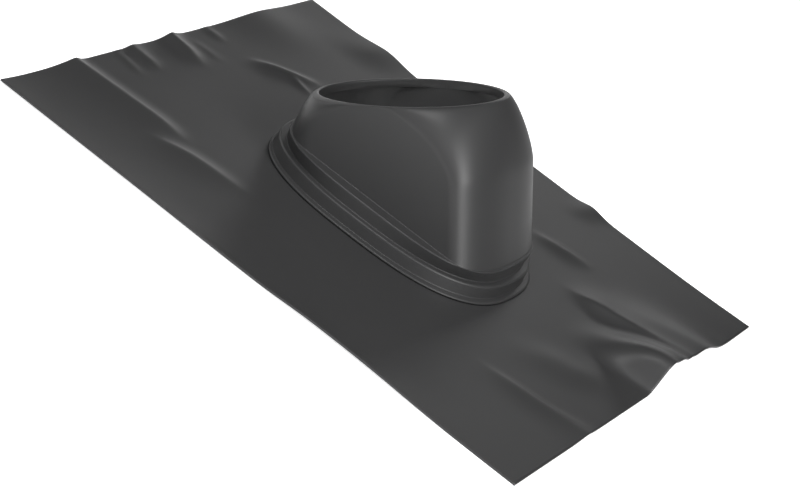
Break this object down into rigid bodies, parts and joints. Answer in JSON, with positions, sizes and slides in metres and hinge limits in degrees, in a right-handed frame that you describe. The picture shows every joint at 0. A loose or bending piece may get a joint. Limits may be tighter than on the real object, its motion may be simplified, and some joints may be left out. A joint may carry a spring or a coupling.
{
  "type": "flue roof tile",
  "caption": "Roof flashing sheet with a moulded hood that carries a vertical flue through a pitched roof.",
  "frame": {"origin": "middle of the flashing sheet's underside", "axes": "+X across the slope, +Y up the slope, +Z square to the roof, away from it"},
  "size_m": [0.636, 0.565, 0.1494],
  "materials": {
    "hood_plastic": "satin anthracite moulding",
    "sheet_rubber": "dull anthracite dressable sheet with a fine grain"
  },
  "bodies": {
    "root": {"hood": "hood_plastic", "flashing_sheet": "sheet_rubber"}
  },
  "joints": []
}
